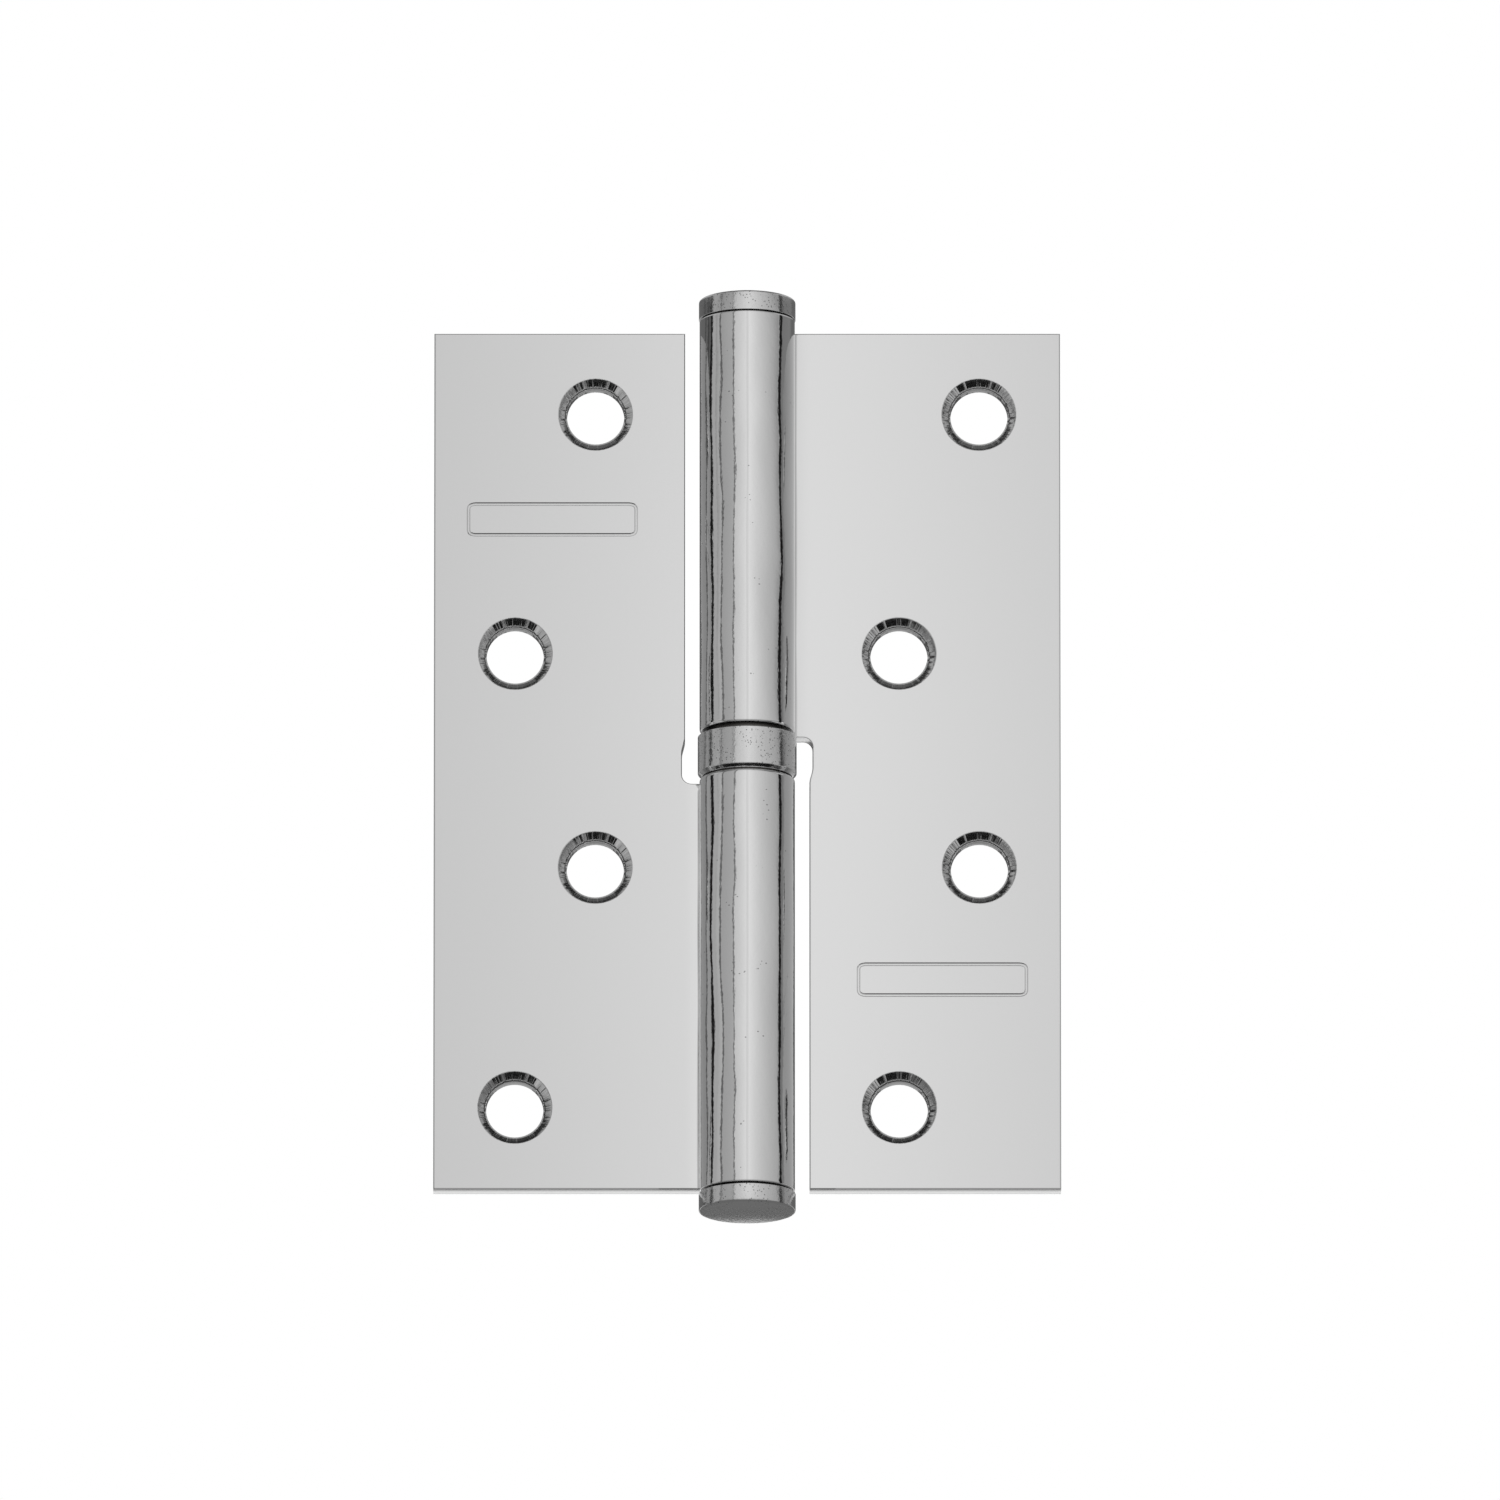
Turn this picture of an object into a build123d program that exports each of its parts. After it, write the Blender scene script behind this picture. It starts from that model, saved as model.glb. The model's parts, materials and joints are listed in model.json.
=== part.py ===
from build123d import *
import os
from math import asin, cos, degrees, radians, tan

# Lift-off mortise hinge in millimetres. The pin axis is Z with the origin at mid height. The hinge lies
# open flat, countersinks and barrel towards -Y, the frame leaf at -X and the door leaf at +X.

# Leaf sheet
sheet = 2.5  # steel thickness
leaf_height = 100.0
leaf_reach = 35.5  # pin axis to the free edge
closed_gap = 4.0  # between the two leaves when the hinge is shut
leaf_edge = 0.2  # break on the stamped edges
notch_radius = 0.9  # inside corner of the notch beside the other knuckle
relief_ramp = 1.2  # height over which the notch narrows again below the ring
relief_blend = 0.8  # rounding of that ramp

# Rolled knuckles
pin_diameter = 5.7
pin_clearance = 0.05  # running clearance, on the radius, in the upper knuckle
knuckle_overrun = 0.9  # how far a barrel end stands past the leaf
knuckle_edge = 0.4  # chamfer on the barrel ends
knuckle_room = 1.65  # barrel to the other leaf's notched edge
seam_gap = 0.2  # free end of the roll to the leaf's face

# Screw holes: two columns, two rows above and two below mid height
hole_diameter = 6.5
sink_diameter = 8.4
sink_angle = 90.0
inner_column = 17.2  # from the pin axis
outer_column = 26.3
near_row = 12.5  # from mid height
far_row = 40.5

# Pin
pin_to_plug = 3.2  # upper end of the pin to the upper plug
pin_lead = 1.2  # chamfer at the upper end
pin_foot = 0.5  # chamfer at the lower end
press_depth = 6.0  # from the lower knuckle's mouth down to the pressed part

# End caps
cap_overhang = 0.08  # head past the barrel, on the radius
cap_head = 2.3  # height of the head
cap_edge = 0.45  # chamfer of the outer rim
cap_seat_edge = 0.15  # chamfer against the barrel
plug_length = 5.0
plug_lead = 0.6
plug_to_foot = 1.0  # lower plug to the foot of the pin

# Bearing ring
bearing_height = 5.4  # knuckle to knuckle
shell_overhang = 0.2  # shell past the barrel, on the radius
shell_wall = 0.65
shell_gap = 0.4  # open gap between shell and upper knuckle
shell_lip = 0.35  # inward turn over the upper race
lip_height = 0.5
shell_chamfer = 0.45  # lower rim
shell_edge = 0.2  # upper rim, chamfered too
ring_room = 1.8  # shell to the notched edge of either leaf
race_clearance = 0.1  # upper race to the shell and its lip
race_room = 0.15  # pin to the bore of either race and of the cage
ball_diameter = 1.2
ball_count = 8
ball_clearance = 0.02  # to the flanks of the grooves
ball_sink = 0.25  # how deep a ball lies in a groove
groove_slope = 45.0  # flanks of the V grooves
cage_thickness = 0.4
cage_room = 0.1  # cage to the shell
pocket_clearance = 0.05

# Worked out from the sizes above
half_height = leaf_height / 2
half_bearing = bearing_height / 2
leaf_front = closed_gap / 2
leaf_back = leaf_front + sheet
bore_radius = pin_diameter / 2 + pin_clearance
knuckle_radius = bore_radius + sheet
knuckle_end = half_height + knuckle_overrun
cut_back = knuckle_radius + knuckle_room
shell_radius = knuckle_radius + shell_overhang
shell_bore = shell_radius - shell_wall
race_bore = pin_diameter / 2 + race_room
ball_radius = ball_diameter / 2
pitch_radius = (race_bore + shell_bore) / 2
race_face = ball_radius - ball_sink
groove_floor = (ball_radius + ball_clearance) / cos(radians(groove_slope))
groove_half = (groove_floor - race_face) / tan(radians(groove_slope))


def turned(*points):
    """Body of revolution about the pin axis from (radius, height) points."""
    return revolve(Plane.XZ * make_face(Polyline(*points, close=True)), Axis.Z)


def half_turn(part):
    """The same piece turned half round about the axis that faces the viewer."""
    return Rot(0, 180, 0) * part


def make_swage(bend_radius, bend_angle):
    """Sheet between leaf and barrel: a reverse bend that meets both of them on a tangent."""
    centre = (cut_back, leaf_front + sheet / 2 + bend_radius)
    back = CenterArc(centre, bend_radius - sheet / 2, 270, -bend_angle)
    front = CenterArc(centre, bend_radius + sheet / 2, 270, -bend_angle)
    section = make_face([back, Line(back @ 1, front @ 1), front, Line(front @ 0, back @ 0)])
    return extrude(section, half_height, dir=(0, 0, 1), both=True)


def make_roll(start_angle):
    """Knuckle: the sheet rolled round the bore, from its tangent point to the seam at the leaf's face."""
    height = knuckle_end - half_bearing
    section = Pos(bore_radius + sheet / 2, half_bearing + height / 2) * Rectangle(sheet, height)
    section = chamfer(section.vertices().group_by(Axis.X)[-1], knuckle_edge)
    end_angle = 360 + degrees(asin((leaf_front - seam_gap) / knuckle_radius))
    return Rot(0, 0, start_angle) * revolve(Plane.XZ * section, Axis.Z, end_angle - start_angle)


def make_notch():
    """Die cut that frees the other leaf's knuckle, eased round the wider bearing ring."""
    relief_reach = shell_radius + ring_room
    outside = half_height + sheet
    outline = Polyline(
        (-leaf_reach, -outside),
        (cut_back, -outside),
        (cut_back, -half_bearing),
        (relief_reach, relief_ramp - half_bearing),
        (relief_reach, half_bearing),
        (-leaf_reach, half_bearing),
        close=True,
    )
    face = make_face(outline)
    ramp = [v for v in face.vertices() if v.X > 0 and -outside < v.Y < half_bearing]
    face = fillet(ramp, relief_blend)
    corner = face.vertices().sort_by_distance((relief_reach, half_bearing))[0]
    face = fillet(corner, notch_radius)
    return extrude(Plane.XZ * face, knuckle_radius + sheet, both=True)


def make_leaf():
    """Door leaf: flat plate, swage and upper knuckle of one sheet, with countersunk screw holes."""
    set_back = bore_radius - leaf_front
    bend_reach = (cut_back**2 + set_back**2) / (2 * set_back)
    bend_angle = degrees(asin(cut_back / bend_reach))
    width = leaf_reach - cut_back
    plate = Pos(cut_back + width / 2, leaf_front + sheet / 2) * Box(width, sheet, leaf_height)
    blank = plate + make_swage(bend_reach - bore_radius - sheet / 2, bend_angle)
    blank -= make_notch()
    blank = break_stamped_edges(blank)
    leaf = blank + make_roll(90 - bend_angle)
    front = Plane.XZ.offset(-leaf_front)
    columns = (outer_column, inner_column, outer_column, inner_column)
    rows = (far_row, near_row, -near_row, -far_row)
    hole = CounterSinkHole(hole_diameter / 2, sink_diameter / 2, sheet, sink_angle)
    for column, row in zip(columns, rows):
        leaf -= front * Pos(column, row) * hole
    return leaf


def break_stamped_edges(blank):
    """Breaks the edges of both faces, but not the corners, the bend lines or the end that joins the roll."""
    joint = blank.faces().sort_by_distance((0, knuckle_radius, half_height / 2))[0]
    bend_lines = [e for e in blank.edges().filter_by(Axis.Z) if e.center().Z > half_bearing]
    bend_lines = [e for e in bend_lines if e.center().X < (cut_back + leaf_reach) / 2]
    kept = list(blank.edges().filter_by(Axis.Y)) + list(joint.edges()) + bend_lines
    outline = [e for e in blank.edges() if e not in kept]
    return chamfer(outline, leaf_edge)


def make_pin():
    """Pin with a pressed foot in the lower knuckle and a tapered upper end for hanging the door."""
    top = knuckle_end - plug_length - pin_to_plug
    foot = -(knuckle_end - plug_length - plug_to_foot)
    step = -(half_bearing + press_depth)
    radius = pin_diameter / 2
    return turned(
        (0, foot),
        (bore_radius - pin_foot, foot),
        (bore_radius, foot + pin_foot),
        (bore_radius, step),
        (radius, step),
        (radius, top - pin_lead),
        (radius - pin_lead, top),
        (0, top),
    )


def make_cap():
    """Upper cap: a flat round head with a plug that presses into the barrel's bore."""
    head_radius = knuckle_radius + cap_overhang
    top = knuckle_end + cap_head
    tip = knuckle_end - plug_length
    return turned(
        (0, tip),
        (bore_radius - plug_lead, tip),
        (bore_radius, tip + plug_lead),
        (bore_radius, knuckle_end),
        (head_radius - cap_seat_edge, knuckle_end),
        (head_radius, knuckle_end + cap_seat_edge),
        (head_radius, top - cap_edge),
        (head_radius - cap_edge, top),
        (0, top),
    )


def make_shell():
    """Bearing shell: a ring on the lower knuckle, with a lip turned in over the upper race."""
    top = half_bearing - shell_gap
    lip_radius = shell_bore - shell_lip
    return turned(
        (shell_bore, -half_bearing),
        (shell_radius - shell_chamfer, -half_bearing),
        (shell_radius, shell_chamfer - half_bearing),
        (shell_radius, top - shell_edge),
        (shell_radius - shell_edge, top),
        (lip_radius, top),
        (lip_radius, top - lip_height),
        (shell_bore, top - lip_height),
    )


def make_lower_race():
    """Grooved washer that fills the shell and stands on the lower knuckle."""
    return turned(
        (race_bore, -half_bearing),
        (shell_bore, -half_bearing),
        (shell_bore, -race_face),
        (pitch_radius + groove_half, -race_face),
        (pitch_radius, -groove_floor),
        (pitch_radius - groove_half, -race_face),
        (race_bore, -race_face),
    )


def make_upper_race():
    """Grooved washer held under the shell's lip; its neck carries the upper knuckle."""
    shoulder = half_bearing - shell_gap - lip_height - race_clearance
    shoulder_radius = shell_bore - race_clearance
    neck_radius = shell_bore - shell_lip - race_clearance
    return turned(
        (race_bore, race_face),
        (pitch_radius - groove_half, race_face),
        (pitch_radius, groove_floor),
        (pitch_radius + groove_half, race_face),
        (shoulder_radius, race_face),
        (shoulder_radius, shoulder),
        (neck_radius, shoulder),
        (neck_radius, half_bearing),
        (race_bore, half_bearing),
    )


def make_balls():
    """One ball for each place round the pitch circle."""
    places = PolarLocations(pitch_radius, ball_count)
    return [place * Sphere(ball_radius) for place in places]


def make_cage():
    """Flat ring with a round pocket for each ball."""
    cage = Cylinder(shell_bore - cage_room, cage_thickness) - Cylinder(race_bore, cage_thickness)
    pocket = Cylinder(ball_radius + pocket_clearance, cage_thickness)
    for place in PolarLocations(pitch_radius, ball_count):
        cage -= place * pocket
    return cage


door_leaf = make_leaf()
upper_cap = make_cap()
pieces = {
    "frame_leaf": half_turn(door_leaf),
    "door_leaf": door_leaf,
    "hinge_pin": make_pin(),
    "lower_cap": half_turn(upper_cap),
    "upper_cap": upper_cap,
    "bearing_shell": make_shell(),
    "lower_race": make_lower_race(),
    "upper_race": make_upper_race(),
    "ball_cage": make_cage(),
}
for number, ball in enumerate(make_balls(), start=1):
    pieces[f"ball_{number:02d}"] = ball

os.makedirs("parts", exist_ok=True)
for name, piece in pieces.items():
    export_step(piece, f"parts/{name}.step")
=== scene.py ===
# %% [markdown]
# # A lift-off mortise hinge in chromed steel
# A lift-off hinge is two leaves of bent sheet on one fixed pin. The door leaf lifts off, and a small
# ball-bearing ring between the knuckles carries the door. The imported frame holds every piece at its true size,
# so the script starts from it and gives each visible piece a finer surface.

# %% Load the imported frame
import json
import bmesh
import bpy
import numpy as np
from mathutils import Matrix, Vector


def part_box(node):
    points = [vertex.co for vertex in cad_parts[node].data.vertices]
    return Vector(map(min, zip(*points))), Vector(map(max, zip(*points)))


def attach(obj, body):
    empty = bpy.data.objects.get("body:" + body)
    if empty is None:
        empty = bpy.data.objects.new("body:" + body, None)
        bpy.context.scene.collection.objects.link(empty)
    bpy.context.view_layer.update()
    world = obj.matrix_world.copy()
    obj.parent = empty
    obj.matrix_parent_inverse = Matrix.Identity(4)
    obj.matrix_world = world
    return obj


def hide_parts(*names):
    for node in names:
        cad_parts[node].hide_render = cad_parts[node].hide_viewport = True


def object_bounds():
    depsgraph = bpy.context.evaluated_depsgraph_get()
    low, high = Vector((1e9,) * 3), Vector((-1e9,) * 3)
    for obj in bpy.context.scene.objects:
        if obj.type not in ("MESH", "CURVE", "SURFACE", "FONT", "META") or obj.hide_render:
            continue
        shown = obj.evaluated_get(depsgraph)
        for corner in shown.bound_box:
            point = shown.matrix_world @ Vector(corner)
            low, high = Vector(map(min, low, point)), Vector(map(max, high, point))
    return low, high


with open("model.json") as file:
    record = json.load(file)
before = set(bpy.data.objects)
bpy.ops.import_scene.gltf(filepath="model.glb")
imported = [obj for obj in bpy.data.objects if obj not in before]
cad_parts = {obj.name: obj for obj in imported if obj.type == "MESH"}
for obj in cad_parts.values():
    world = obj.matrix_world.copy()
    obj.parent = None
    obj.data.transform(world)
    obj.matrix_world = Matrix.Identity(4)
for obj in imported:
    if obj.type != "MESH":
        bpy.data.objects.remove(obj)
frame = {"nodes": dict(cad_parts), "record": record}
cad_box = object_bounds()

print("nodes:", len(frame["nodes"]))

# %% [markdown]
# ## Sizes
# Most sizes can be read back from the frame: the leaf's box gives its reach and height, and the screw mounts
# give the holes. What a box can't show, such as the sheet's thickness, the bore and the small roundings, is
# named here once. All lengths are millimetres until a mesh is written.

# %% Sizes from the frame
MM = 0.001


def node_box(node):
    """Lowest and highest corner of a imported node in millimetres."""
    low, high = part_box(node)
    return np.array(low) / MM, np.array(high) / MM


leaf_low, leaf_high = node_box("door_leaf")
shell_low, shell_high = node_box("bearing_shell")
mounts = {mount["name"]: mount for mount in frame["record"]["mounts"]}

SHEET = 2.5
BORE = 2.9
BARREL = BORE + SHEET
REACH = leaf_high[0]
HALF_HEIGHT = -leaf_low[2]
BARREL_TOP = leaf_high[2]
LEAF_BACK = mounts["door_leaf_back"]["pos_m"][1] / MM
LEAF_FRONT = LEAF_BACK - SHEET
KNUCKLE_FOOT = -shell_low[2]
print(f"reach {REACH:.2f}, half height {HALF_HEIGHT:.2f}, barrel {BARREL:.2f}")


# %% Screw holes from the mounts
def column_holes(name):
    """Centres (across, up) of the two screw holes that one mount names."""
    centre = np.array(mounts[name]["pos_m"])[[0, 2]] / MM
    half_span = mounts[name]["dims"]["spacing_y_mm"] / 2
    return [centre + (0, half_span), centre - (0, half_span)]


holes = column_holes("door_leaf_inner_screws") + column_holes("door_leaf_outer_screws")
holes = sorted(holes, key=lambda centre: -centre[1])
HOLE_RADIUS = mounts["door_leaf_inner_screws"]["dims"]["hole_r_mm"]
SINK_RADIUS = 4.2
print("holes from the top:", [tuple(np.round(centre, 2)) for centre in holes])

# %% [markdown]
# ## From grids to a mesh
# Every new piece is one or more grids of points. A grid is easy to compute as a whole array, and its faces are
# always the same pattern of squares. Grids that share a border repeat the same points there, so merging the
# doubles closes the skin, and Blender can then turn all faces outwards.


# %% Grid helpers
WELD_DISTANCE = 2e-6
SHARP_ANGLE = np.radians(40)


def grid_faces(rows, columns, closed):
    """Square faces between neighbouring rows and columns; closed joins the last column to the first."""
    row = np.arange(rows - 1)[:, None]
    column = np.arange(columns if closed else columns - 1)[None, :]
    following = (column + 1) % columns
    corners = [row * columns + column, row * columns + following,
               (row + 1) * columns + following, (row + 1) * columns + column]
    return np.stack(np.broadcast_arrays(*corners), axis=-1).reshape(-1, 4)


def weld(mesh):
    """Merges doubled points, turns the faces outwards and returns how many edges stay open."""
    skin = bmesh.new()
    skin.from_mesh(mesh)
    bmesh.ops.remove_doubles(skin, verts=skin.verts, dist=WELD_DISTANCE)
    bmesh.ops.recalc_face_normals(skin, faces=skin.faces)
    open_edges = sum(not edge.is_manifold for edge in skin.edges)
    skin.to_mesh(mesh)
    skin.free()
    return open_edges


def piece_from_grids(name, grids, node, body, patterns=()):
    """Welds (points, closed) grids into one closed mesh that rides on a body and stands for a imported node.
    Patterns are (label, arrays) pairs: a vector at every point, kept as an attribute for materials."""
    points, faces, first = [], [], 0
    for grid, closed in grids:
        rows, columns = grid.shape[:2]
        points.append(grid.reshape(-1, 3) * MM)
        faces.append(grid_faces(rows, columns, closed) + first)
        first += rows * columns
    mesh = bpy.data.meshes.new(name)
    mesh.from_pydata(np.concatenate(points), [], np.concatenate(faces))
    for label, arrays in patterns:
        values = np.concatenate([array.reshape(-1, 3) for array in arrays])
        mesh.attributes.new(label, "FLOAT_VECTOR", "POINT").data.foreach_set("vector", values.ravel())
    open_edges = weld(mesh)
    mesh.polygons.foreach_set("use_smooth", np.ones(len(mesh.polygons), dtype=bool))
    mesh.set_sharp_from_angle(angle=SHARP_ANGLE)
    piece = bpy.data.objects.new(name, mesh)
    bpy.context.scene.collection.objects.link(piece)
    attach(piece, body)
    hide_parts(node)
    print(f"{name}: {len(mesh.polygons)} faces, {open_edges} open edges")
    return piece


# %% [markdown]
# ## The leaf as a flat blank
# A real leaf is punched flat and then rolled, and the mesh is made in the same order. The blank lies in a plane
# with coordinates (across, up, depth), depth running from the countersunk face to the back. Working flat keeps
# holes round and borders straight, and one formula bends everything afterwards.

# %% Bend of the sheet
NOTCH = 7.05
ROLL_MID = BORE + SHEET / 2
SET_BACK = BORE - LEAF_FRONT
BEND_REACH = (NOTCH**2 + SET_BACK**2) / (2 * SET_BACK)
BEND_ANGLE = np.arcsin(NOTCH / BEND_REACH)
BEND_RADIUS = BEND_REACH - ROLL_MID
ROLL_START = NOTCH - BEND_RADIUS * BEND_ANGLE
SEAM_GAP = 0.2
SEAM_ANGLE = 2 * np.pi + np.arcsin((LEAF_FRONT - SEAM_GAP) / BARREL)
ROLL_END = ROLL_START - ROLL_MID * (SEAM_ANGLE - np.pi / 2 + BEND_ANGLE)


def bend(blank):
    """Blank to hinge. Outside the notch line the sheet stays flat. Inside it follows an arc that leans back,
    and past the arc's end it winds round the bore: angle is length over the middle radius of the sheet."""
    across, up, depth = np.moveaxis(blank, -1, 0)
    lean = np.clip((NOTCH - across) / BEND_RADIUS, 0, BEND_ANGLE)
    wind = np.clip((ROLL_START - across) / ROLL_MID, 0, None)
    lean_radius = BEND_RADIUS + SHEET / 2 - depth
    x = np.maximum(across, NOTCH) - lean_radius * np.sin(lean)
    y = LEAF_FRONT + SHEET / 2 + BEND_RADIUS - lean_radius * np.cos(lean)
    turn = np.pi / 2 - BEND_ANGLE + wind
    x = np.where(wind > 0, (BORE + depth) * np.cos(turn), x)
    y = np.where(wind > 0, (BORE + depth) * np.sin(turn), y)
    return np.stack([x, y, up], axis=-1)


print(f"bend radius {BEND_RADIUS:.1f}, bend {np.degrees(BEND_ANGLE):.1f} degrees, end {ROLL_END:.2f}")

# %% [markdown]
# ## Borders of the blank
# The flat part is cut into five bands, one for each screw hole and one for the stamped border between the lower
# holes. A band is a rectangle with something in its middle, so one ring of points runs round its edge. The
# inner edge isn't straight: below the knuckle it is a notch with a round corner, wider beside the bearing ring.
# Each band edge has the same number of points, so that neighbours meet point by point.

# %% Band limits and notch
EDGE = 0.14
ROLL_EDGE_OUTSIDE = 0.4
ROLL_EDGE_BORE = 0.15
NOTCH_CORNER = 1.1
RELIEF_ROOM = 1.8
RELIEF = shell_high[0] + RELIEF_ROOM
RELIEF_RAMP = 1.9
STEPS = 24
RELIEF_STEPS, RAMP_STEPS = 6, 9
CLOSE = 0.006
UPPER_LIMIT = 26.5
STAMP_LIMITS = (-23.2, -30.8)
TAB_START = RELIEF + EDGE
CORNER_FOOT = KNUCKLE_FOOT - NOTCH_CORNER
limits = [HALF_HEIGHT - EDGE, UPPER_LIMIT, CORNER_FOOT, *STAMP_LIMITS, EDGE - HALF_HEIGHT]


def line(start, end, steps):
    """Evenly spaced points from start to end, both included."""
    return np.linspace(start, end, steps + 1)


def border(start, end):
    """Band edge: even points with one more close to each end, which keeps the rounding's shade off the face."""
    share = np.concatenate([[0, CLOSE], line(0, 1, STEPS - 2)[1:-1], [1 - CLOSE, 1]])
    return np.array(start) + share[:, None] * (np.array(end) - np.array(start))


def smooth(share):
    """Cubic ease from 0 to 1 that starts and ends level."""
    share = np.clip(share, 0, 1)
    return share * share * (3 - 2 * share)


def notch_border(top, bottom):
    """Inner edge beside the bearing ring: straight relief, a ramp back to the notch line, straight."""
    ramp_top = RELIEF_RAMP - KNUCKLE_FOOT
    heights = np.concatenate([line(top, ramp_top, RELIEF_STEPS),
                              line(ramp_top, -KNUCKLE_FOOT, RAMP_STEPS)[1:],
                              line(-KNUCKLE_FOOT, bottom, STEPS - RELIEF_STEPS - RAMP_STEPS)[1:]])
    across = NOTCH + (RELIEF - NOTCH) * smooth((heights + KNUCKLE_FOOT) / RELIEF_RAMP)
    return np.stack([across + EDGE, heights], axis=-1)


# %% Edges of the five bands
spans = list(zip(limits, limits[1:]))


def upright(across, top, bottom):
    """Straight band edge between two heights."""
    return border((across, top), (across, bottom))


free_edges = [upright(REACH - EDGE, *span) for span in spans]
inner_edges = [upright(TAB_START, *span) for span in spans[:2]]
inner_edges += [notch_border(*spans[2])]
inner_edges += [upright(NOTCH + EDGE, *span) for span in spans[3:]]
ends = [(free[0], inner[0]) for free, inner in zip(free_edges, inner_edges)]
ends += [(free_edges[-1][-1], inner_edges[-1][-1])]
cross_lines = [border(free, inner) for free, inner in ends]


def band_ring(index):
    """Closed ring round one band: top, inner edge, bottom and free edge, each without its last point."""
    sides = [cross_lines[index], inner_edges[index], cross_lines[index + 1][::-1], free_edges[index][::-1]]
    return np.concatenate([side[:-1] for side in sides])


print("ring points:", len(band_ring(0)), "limits:", np.round(limits, 2))

# %% [markdown]
# ## Screw holes
# Round each hole the face is a sheet of straight spokes from the band's ring to the sink's rim. The same spokes
# then run down the cone, through the hole and out over the back, so front, hole and back are one grid. A small
# rounding at the rim catches the thin ring of light that a polished countersink shows.

# %% Hole band
SINK_RIM = 0.08
HOLE_BREAK = 0.1
BORE_LEAD = 0.06
RIM_STEPS, ROUND_STEPS = 5, 4
CONE_SHARES = np.array([0.4, 0.7, 0.96])
SPOKES = np.array([0, 0.006, 0.08, 0.22, 0.42, 0.62, 0.8, 0.92, 0.98, 0.998])


def sink_profile():
    """(radius, depth) down one hole: rounded rim, cone at 45 degrees, straight bore and rounded back edge."""
    rim = line(0, np.pi / 4, RIM_STEPS)
    rim_start = SINK_RADIUS + SINK_RIM * np.tan(np.pi / 8)
    cone_end = SINK_RADIUS - HOLE_RADIUS
    back = line(np.pi / 2, 0, ROUND_STEPS)
    radius = np.concatenate([rim_start - SINK_RIM * np.sin(rim),
                             HOLE_RADIUS + cone_end * (1 - CONE_SHARES),
                             [HOLE_RADIUS, HOLE_RADIUS],
                             HOLE_RADIUS + HOLE_BREAK * (1 - np.sin(back))])
    depth = np.concatenate([SINK_RIM * (1 - np.cos(rim)),
                            cone_end * CONE_SHARES,
                            [cone_end + BORE_LEAD, SHEET - 3 * HOLE_BREAK],
                            SHEET - HOLE_BREAK * np.cos(back)])
    return radius, depth


def with_depth(flat, depth):
    """Points of the blank: two flat coordinates and a depth, one for all or one for each row."""
    rows = np.broadcast_to(np.reshape(depth, (-1, 1, 1)), flat.shape[:2] + (1,))
    return np.concatenate([flat, rows], axis=-1)


def hole_band(ring, centre):
    """One grid from the front border through the hole to the back border, along spokes that point at the hole.
    With it go the spoke directions, zero on the flat faces, for the tool marks in the sink."""
    offset = ring - centre
    spoke = offset / np.linalg.norm(offset, axis=1, keepdims=True)
    radius, depth = sink_profile()
    tunnel = centre + radius[:, None, None] * spoke
    front = ring + SPOKES[:, None, None] * (tunnel[0] - ring)
    back = ring + SPOKES[::-1, None, None] * (tunnel[-1] - ring)
    depths = np.concatenate([np.zeros(len(SPOKES)), depth, np.full(len(SPOKES), SHEET)])
    blank = with_depth(np.concatenate([front, tunnel, back]), depths)
    marks = np.zeros_like(blank)
    marks[len(SPOKES):-len(SPOKES), :, :2] = spoke
    return blank, marks, True


print("rows in a hole band:", 2 * len(SPOKES) + len(sink_profile()[0]))

# %% [markdown]
# ## Plain stamped border
# Between the two lower holes the sheet carries a shallow stamped line in the shape of an oblong, left empty
# inside. The ring of the band shrinks to it, goes down a steep wall, over a flat floor and up again, and closes
# on the oblong's middle line. Each steep wall shows as a thin line. The punch hit each leaf at its own height.

# %% Stamp band
STAMP_HALF = np.array([9.5, 1.8])
STAMP_ACROSS = 22.1
STAMP_CORNER = 0.6
CORNER_SHARE, CORNER_POINTS = 0.012, 3
STAMP_LINE = 0.42
STAMP_WALL = 0.15
STAMP_DEPTH = 0.155
INNER_SPOKES = np.array([0.03, 0.3, 0.65, 1.0])


def square_ring():
    """The band ring's twin on a square of half size 1, point for point, with each point's outward direction.
    The first and last few points of a side share a corner, and the direction turns there by an eighth."""
    corner = line(0, CORNER_SHARE, CORNER_POINTS)
    share = np.concatenate([corner, line(0, 1, STEPS - 2 * CORNER_POINTS)[1:-1], 1 - corner[::-1]])
    near_start, near_end = [np.clip(1 - away / CORNER_SHARE, 0, 1) for away in (share, 1 - share)]
    lean = np.pi / 4 * (near_end - near_start)
    place = 1 - 2 * share + 1j
    direction = np.exp(1j * (lean + np.pi / 2))
    rings = [np.concatenate([side[:-1] * quarter for quarter in (1, 1j, -1, -1j)])
             for side in (place, direction)]
    return [np.stack([ring.real, ring.imag], axis=-1) for ring in rings]


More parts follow.
